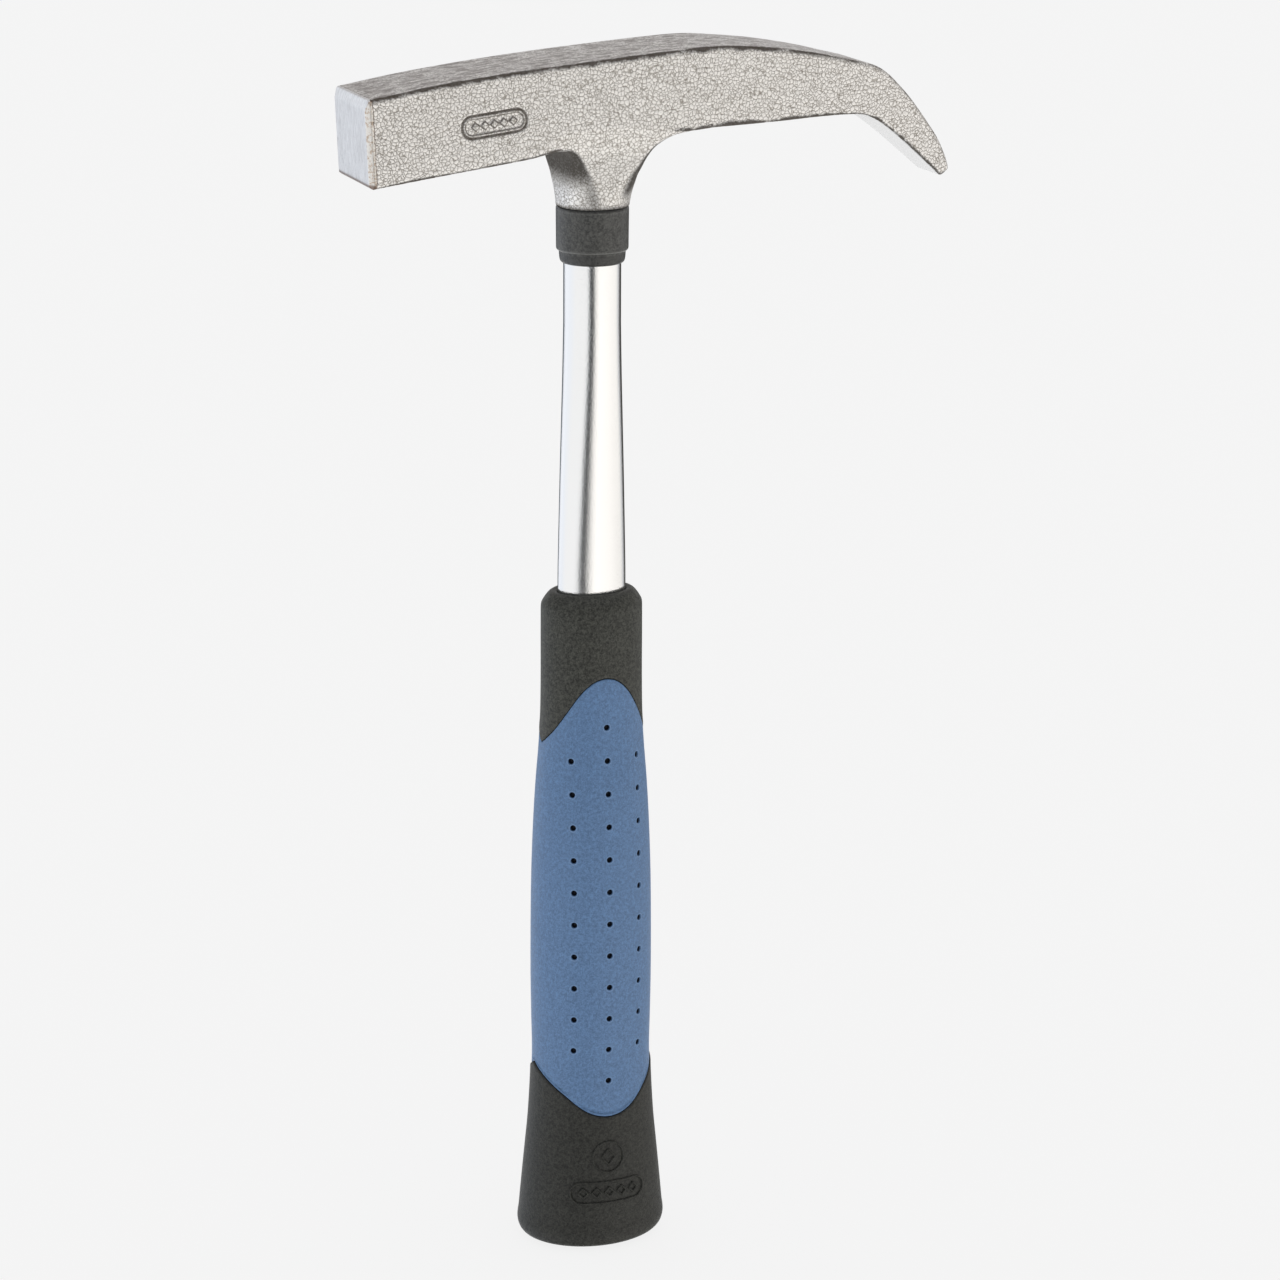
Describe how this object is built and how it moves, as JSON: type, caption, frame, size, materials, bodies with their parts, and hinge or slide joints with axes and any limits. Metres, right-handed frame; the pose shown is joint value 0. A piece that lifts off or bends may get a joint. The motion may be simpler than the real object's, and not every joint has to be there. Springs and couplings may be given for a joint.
{
  "type": "rock hammer",
  "caption": "Rock hammer with a forged head, square strike face and curved chisel-edged pick, steel tube shaft and two-part moulded grip.",
  "frame": {"origin": "centre of the flat end of the grip, on the handle's axis", "axes": "+Z along the handle towards the head, +X along the head towards the pick's tip (the strike face looks to -X), +Y across the head"},
  "size_m": [0.151, 0.0316, 0.3036],
  "materials": {
    "painted_forging": "satin",
    "collar_plastic": "matte",
    "chromed_tube": "polished",
    "plug_steel": "satin",
    "plug_plastic": "matte",
    "grip_hard": "matte",
    "grip_soft": "satin"
  },
  "bodies": {
    "root": {"hammer_head": "painted_forging", "neck_collar": "collar_plastic", "shaft_tube": "chromed_tube", "tube_core_plug": "plug_steel", "tube_end_plug": "plug_plastic", "grip_core": "grip_hard", "grip_soft_cover": "grip_soft"}
  },
  "joints": []
}
